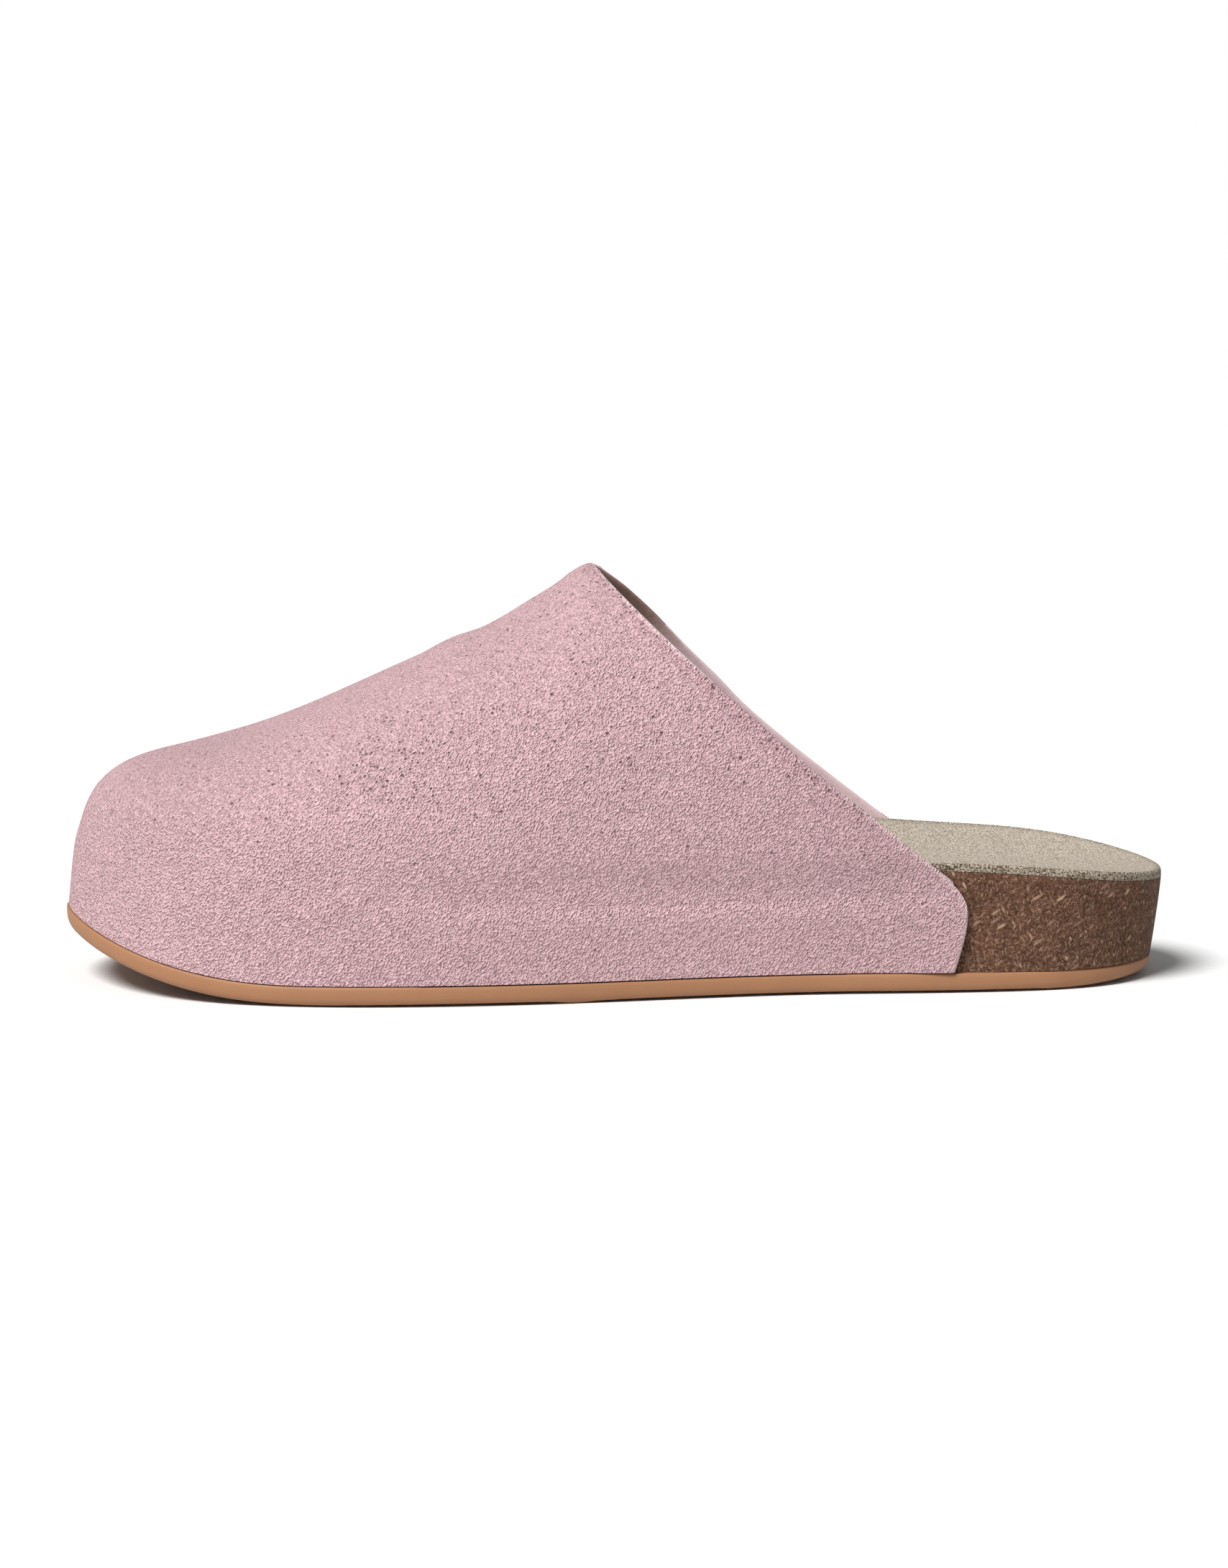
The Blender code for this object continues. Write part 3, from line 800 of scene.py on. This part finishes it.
# %% Raise the pucker
PUCKER_LOW, PUCKER_HIGH = Vector((71, 20)) * MM, Vector((57, 26)) * MM
PUCKER_HALF_WIDTH, PUCKER_RISE = 3.5 * MM, 0.35 * MM
pucker_run = PUCKER_HIGH - PUCKER_LOW
pucker_weights = {}
for index in outside_points:
    point = upper.data.vertices[index].co
    from_low = Vector((point.x, point.z)) - PUCKER_LOW
    share = min(max(from_low.dot(pucker_run) / pucker_run.length_squared, 0.0), 1.0)
    gap = (from_low - share * pucker_run).length
    if point.y > 0 and gap < PUCKER_HALF_WIDTH:
        pucker_weights[index] = (1 - (gap / PUCKER_HALF_WIDTH) ** 2) ** 2
press_in(upper, "pucker", pucker_weights, -PUCKER_RISE)

# %% [markdown]
# Over the instep, where the vamp turns up to the peak, a low ridge crosses the top. It shows as a
# swelling of the outline, so it has to be in the mesh and not in the bump.

# %% Raise the ridge over the instep
RIDGE_MIDDLE, RIDGE_HALF_WIDTH, RIDGE_RISE = 38 * MM, 8 * MM, 0.7 * MM
RIDGE_FROM, RIDGE_FULL = 60 * MM, 78 * MM
ridge_weights = {}
for index in outside_points:
    point = upper.data.vertices[index].co
    share = abs(point.x - RIDGE_MIDDLE) / RIDGE_HALF_WIDTH
    height_share = ramp(point.z, RIDGE_FROM, RIDGE_FULL)
    if share < 1 and height_share > 0:
        ridge_weights[index] = (1 - share**2) ** 2 * height_share
press_in(upper, "instep_ridge", ridge_weights, -RIDGE_RISE)

# %% [markdown]
# ## The insole
#
# The footbed is covered with beige suede that is cut flush with the cork. Its top is a fine
# salt-and-pepper nap. At the rim the cover and the cork were sanded together, so the edge is speckled
# with cork dust, which fades into the clean top over a few millimetres. Two materials would meet in a
# hard line, so one material reads how near the rim a point lies, and its own specks make the border
# ragged.

# %% Mix the insole's suede
# Split suede in its natural beige, sanded at the rim: a tight matt nap with darker hairs and brown dust.
bed, bed_shader, bed_mm = new_material("beige_suede_natural", 0.95, 1.45)
bed_shader.inputs["Specular IOR Level"].default_value = 0.15
bed_shader.inputs["Sheen Weight"].default_value = 0.1
BED_GRAIN_MM, SPECK_MM = 0.45, 0.4
RAGGED = 0.8  # how far the grain moves the border of the dust
bed_nap = {"Vector": bed_mm, "Scale": 1 / BED_GRAIN_MM, "Detail": 1.0, "Roughness": 0.6}
bed_grain = add_node(bed, "ShaderNodeTexNoise", inputs=bed_nap)
bed_fac = bed_grain.outputs["Fac"]
bed_light = add_node(bed, "ShaderNodeMapRange", inputs={"Value": bed_fac, "From Min": 0.3, "From Max": 0.7})
bed_tone = add_node(
    bed,
    "ShaderNodeMix",
    BLEND,
    {MIX_FACTOR: bed_light.outputs["Result"], MIX_A: linear("#796f62"), MIX_B: linear("#b3a99c")},
)
speck_grain = {"Vector": bed_mm, "Scale": 1 / SPECK_MM, "Detail": 2.0, "Roughness": 0.7}
specks = add_node(bed, "ShaderNodeTexNoise", inputs=speck_grain)
speck_light = add_node(
    bed, "ShaderNodeMapRange", inputs={"Value": specks.outputs["Fac"], "From Min": 0.43, "From Max": 0.57}
)
speck_tone = add_node(
    bed,
    "ShaderNodeMix",
    BLEND,
    {MIX_FACTOR: speck_light.outputs["Result"], MIX_A: linear("#433529"), MIX_B: linear("#a69b8a")},
)
at_rim = add_node(bed, "ShaderNodeAttribute", {"attribute_name": "near_rim"})
border = add_node(bed, "ShaderNodeMath", TIMES_PLUS, {0: bed_fac, 1: RAGGED, 2: at_rim.outputs["Fac"]})
dusted = add_node(
    bed, "ShaderNodeMapRange", inputs={"Value": border.outputs[0], "From Min": 0.9, "From Max": 1.3}
)
dusted_tone = add_node(
    bed,
    "ShaderNodeMix",
    BLEND,
    {
        MIX_FACTOR: dusted.outputs["Result"],
        MIX_A: bed_tone.outputs[MIX_RESULT],
        MIX_B: speck_tone.outputs[MIX_RESULT],
    },
)
bed_bump = add_node(bed, "ShaderNodeBump", inputs={"Height": bed_fac, "Strength": 0.8, "Distance": 0.5 * MM})
bed.node_tree.links.new(dusted_tone.outputs[MIX_RESULT], bed_shader.inputs["Base Color"])
bed.node_tree.links.new(bed_bump.outputs["Normal"], bed_shader.inputs["Normal"])
insole.data.materials.append(bed)
print("insole nodes:", len(bed.node_tree.nodes))

# %% [markdown]
# The sanding reached the whole cut side and a few millimetres of the top. Close to the cork the cover is
# a little cleaner. Both distances are measured from the faces of the mesh, as on the collar, and painted
# as one number.

# %% Paint the insole's rim
RIM_REACH, CORK_REACH, CLEAN_SHARE = 3.0 * MM, 1.2 * MM, 0.1
UPRIGHT = 0.5  # the normal of an upright wall rises or sinks less than this
rim_gaps = gaps_to(insole, [face for face in insole.data.polygons if abs(face.normal.z) < UPRIGHT])
cork_gaps = gaps_to(insole, [face for face in insole.data.polygons if face.normal.z < FACES_DOWN])
rim_values = []
for rim_gap, cork_gap in zip(rim_gaps, cork_gaps):
    clean = CLEAN_SHARE * max(0.0, 1 - cork_gap / CORK_REACH)
    rim_values.append(max(0.0, 1 - rim_gap / RIM_REACH - clean))
paint(insole, "near_rim", rim_values)
print("rim points:", sum(gap < RIM_REACH for gap in rim_gaps))

# %% [markdown]
# ## The cork footbed
#
# Ground cork is pressed with latex into a block and sanded to shape. It is brown and dusty, with darker
# and lighter lumps a few millimetres wide. A fine noise gives the dust and a coarse one the lumps, as a
# picture of cork would, but with no seam round the heel.

# %% Mix the cork
# Pressed ground cork, sanded: matt, dark brown and granular, with pale splinters.
cork, cork_shader, cork_mm = new_material("pressed_cork_sanded", 0.85, 1.45)
cork_shader.inputs["Specular IOR Level"].default_value = 0.25
DUST_MM, LUMP_MM = 0.55, 5.0
dust_grain = {"Vector": cork_mm, "Scale": 1 / DUST_MM, "Detail": 4.0, "Roughness": 0.75}
dust = add_node(cork, "ShaderNodeTexNoise", inputs=dust_grain)
dust_light = add_node(
    cork, "ShaderNodeMapRange", inputs={"Value": dust.outputs["Fac"], "From Min": 0.36, "From Max": 0.64}
)
dust_tone = add_node(
    cork,
    "ShaderNodeMix",
    BLEND,
    {MIX_FACTOR: dust_light.outputs["Result"], MIX_A: linear("#2f1b11"), MIX_B: linear("#6c4b39")},
)
lumps = add_node(cork, "ShaderNodeTexNoise", inputs={"Vector": cork_mm, "Scale": 1 / LUMP_MM, "Detail": 2.0})
lump_range = {"From Min": 0.3, "From Max": 0.7, "To Min": 0.82, "To Max": 1.18}
lump_light = add_node(cork, "ShaderNodeMapRange", inputs={"Value": lumps.outputs["Fac"], **lump_range})
cork_tone = add_node(
    cork,
    "ShaderNodeMix",
    TINT,
    {MIX_FACTOR: 1.0, MIX_A: dust_tone.outputs[MIX_RESULT], MIX_B: lump_light.outputs["Result"]},
)
print("cork dust of", DUST_MM, "mm grains")

# %% [markdown]
# Short fibres lie in the cork in all directions, with a few long pale splinters. They could be thin
# pieces of mesh, but sanding left them flush. Each set is a cell pattern that is stretched one way, in
# which only some cells are filled, more or less pale. A few sets at different slants look random.

# %% Scatter the splinters
SPLINTERS = (
    # slant in degrees, length and thickness in mm, share of empty cells, paleness
    (25, 1.9, 0.4, 0.5, 0.5),
    (-42, 1.7, 0.36, 0.5, 0.5),
    (78, 1.6, 0.36, 0.55, 0.5),
    (-72, 2.4, 0.45, 0.75, 0.55),
    (48, 2.8, 0.5, 0.8, 0.7),
    (30, 5.0, 1.1, 0.9, 1.0),
    (-58, 4.2, 0.8, 0.91, 0.9),
)
SPLINTER_SIDE = {"From Min": 0.2, "From Max": 0.42, "To Min": 1.0, "To Max": 0.0}
for slant, length, thickness, empty, paleness in SPLINTERS:
    turned = add_node(
        cork,
        "ShaderNodeMapping",
        {"vector_type": "TEXTURE"},
        {
            "Vector": cork_mm,
            "Location": (slant, slant, slant),
            "Rotation": (0, math.radians(slant), math.radians(slant / 2)),
            "Scale": (length, thickness, thickness),
        },
    )
    cells = add_node(cork, "ShaderNodeTexVoronoi", inputs={"Vector": turned.outputs["Vector"], "Scale": 1.0})
    number = add_node(cork, "ShaderNodeSeparateColor", inputs={"Color": cells.outputs["Color"]})
    filling = {"From Min": empty, "From Max": 1.0, "To Min": 0.0, "To Max": paleness}
    kept = add_node(cork, "ShaderNodeMapRange", inputs={"Value": number.outputs["Red"], **filling})
    body = add_node(cork, "ShaderNodeMapRange", inputs={"Value": cells.outputs["Distance"], **SPLINTER_SIDE})
    splinter = add_node(
        cork, "ShaderNodeMath", TIMES, {0: kept.outputs["Result"], 1: body.outputs["Result"]}
    )
    cork_tone = add_node(
        cork,
        "ShaderNodeMix",
        BLEND,
        {MIX_FACTOR: splinter.outputs[0], MIX_A: cork_tone.outputs[MIX_RESULT], MIX_B: linear("#ad9079")},
    )
cork_relief = {"Height": dust.outputs["Fac"], "Strength": 0.6, "Distance": 0.5 * MM}
cork_bump = add_node(cork, "ShaderNodeBump", inputs=cork_relief)
cork.node_tree.links.new(cork_tone.outputs[MIX_RESULT], cork_shader.inputs["Base Color"])
cork.node_tree.links.new(cork_bump.outputs["Normal"], cork_shader.inputs["Normal"])
midsole.data.materials.append(cork)
print("cork nodes:", len(cork.node_tree.nodes))

# %% [markdown]
# ## The rubber outsole
#
# The outsole is a sheet of tan foam rubber, cut to the outline and glued on. Its side is smooth and
# matt. One colour would look like plastic, so a slow noise makes it a little cloudy.

# %% Mix the rubber
# Tan foam rubber, cut and buffed: even and matt, with a faint cloudiness.
rubber, rubber_shader, rubber_mm = new_material("tan_rubber_buffed", 0.6, 1.52)
rubber_shader.inputs["Specular IOR Level"].default_value = 0.35
CLOUD_MM = 6.0
cloud_grain = {"Vector": rubber_mm, "Scale": 1 / CLOUD_MM, "Detail": 4.0, "Roughness": 0.6}
clouds = add_node(rubber, "ShaderNodeTexNoise", inputs=cloud_grain)
rubber_tone = add_node(
    rubber,
    "ShaderNodeMix",
    BLEND,
    {MIX_FACTOR: clouds.outputs["Fac"], MIX_A: linear("#8c6244"), MIX_B: linear("#986c4b")},
)
rubber_relief = {"Height": clouds.outputs["Fac"], "Strength": 0.2, "Distance": 0.3 * MM}
rubber_bump = add_node(rubber, "ShaderNodeBump", inputs=rubber_relief)
rubber.node_tree.links.new(rubber_tone.outputs[MIX_RESULT], rubber_shader.inputs["Base Color"])
rubber.node_tree.links.new(rubber_bump.outputs["Normal"], rubber_shader.inputs["Normal"])
outsole.data.materials.append(rubber)
print("rubber nodes:", len(rubber.node_tree.nodes))

# %% [markdown]
# The underside carries a fine wavy tread. It is shallow and lies flat on the floor, so it is bump and
# not geometry.

# %% Mould the tread
# The same rubber, moulded in low waves about 5 mm apart: matt, with painted shade in the grooves.
tread, tread_shader, tread_mm = new_material("tan_rubber_wave_tread", 0.7, 1.52)
tread_shader.inputs["Specular IOR Level"].default_value = 0.3
WAVE_SCALE = 0.063  # bands repeat after pi / 10 at a scale of 1, so this gives 5 mm
waves = add_node(
    tread,
    "ShaderNodeTexWave",
    {"wave_type": "BANDS", "bands_direction": "X"},
    {"Vector": tread_mm, "Scale": WAVE_SCALE, "Distortion": 2.5, "Detail": 0.0, "Detail Scale": 0.7},
)
# Painted shade in the grooves: the tone follows the waves' height, as the bump does.
tread_tone = add_node(
    tread,
    "ShaderNodeMix",
    BLEND,
    {MIX_FACTOR: waves.outputs["Fac"], MIX_A: linear("#7c563b"), MIX_B: linear("#996e4d")},
)
tread_relief = {"Height": waves.outputs["Fac"], "Strength": 0.8, "Distance": 1.0 * MM}
tread_bump = add_node(tread, "ShaderNodeBump", inputs=tread_relief)
tread.node_tree.links.new(tread_tone.outputs[MIX_RESULT], tread_shader.inputs["Base Color"])
tread.node_tree.links.new(tread_bump.outputs["Normal"], tread_shader.inputs["Normal"])
outsole.data.materials.append(tread)
SIDE, TREAD = 0, 1
FLAT_DOWN = -0.9  # limit for a normal's Z
for face in outsole.data.polygons:
    face.material_index = TREAD if face.normal.z < FLAT_DOWN else SIDE
print("tread faces:", sum(face.material_index == TREAD for face in outsole.data.polygons))
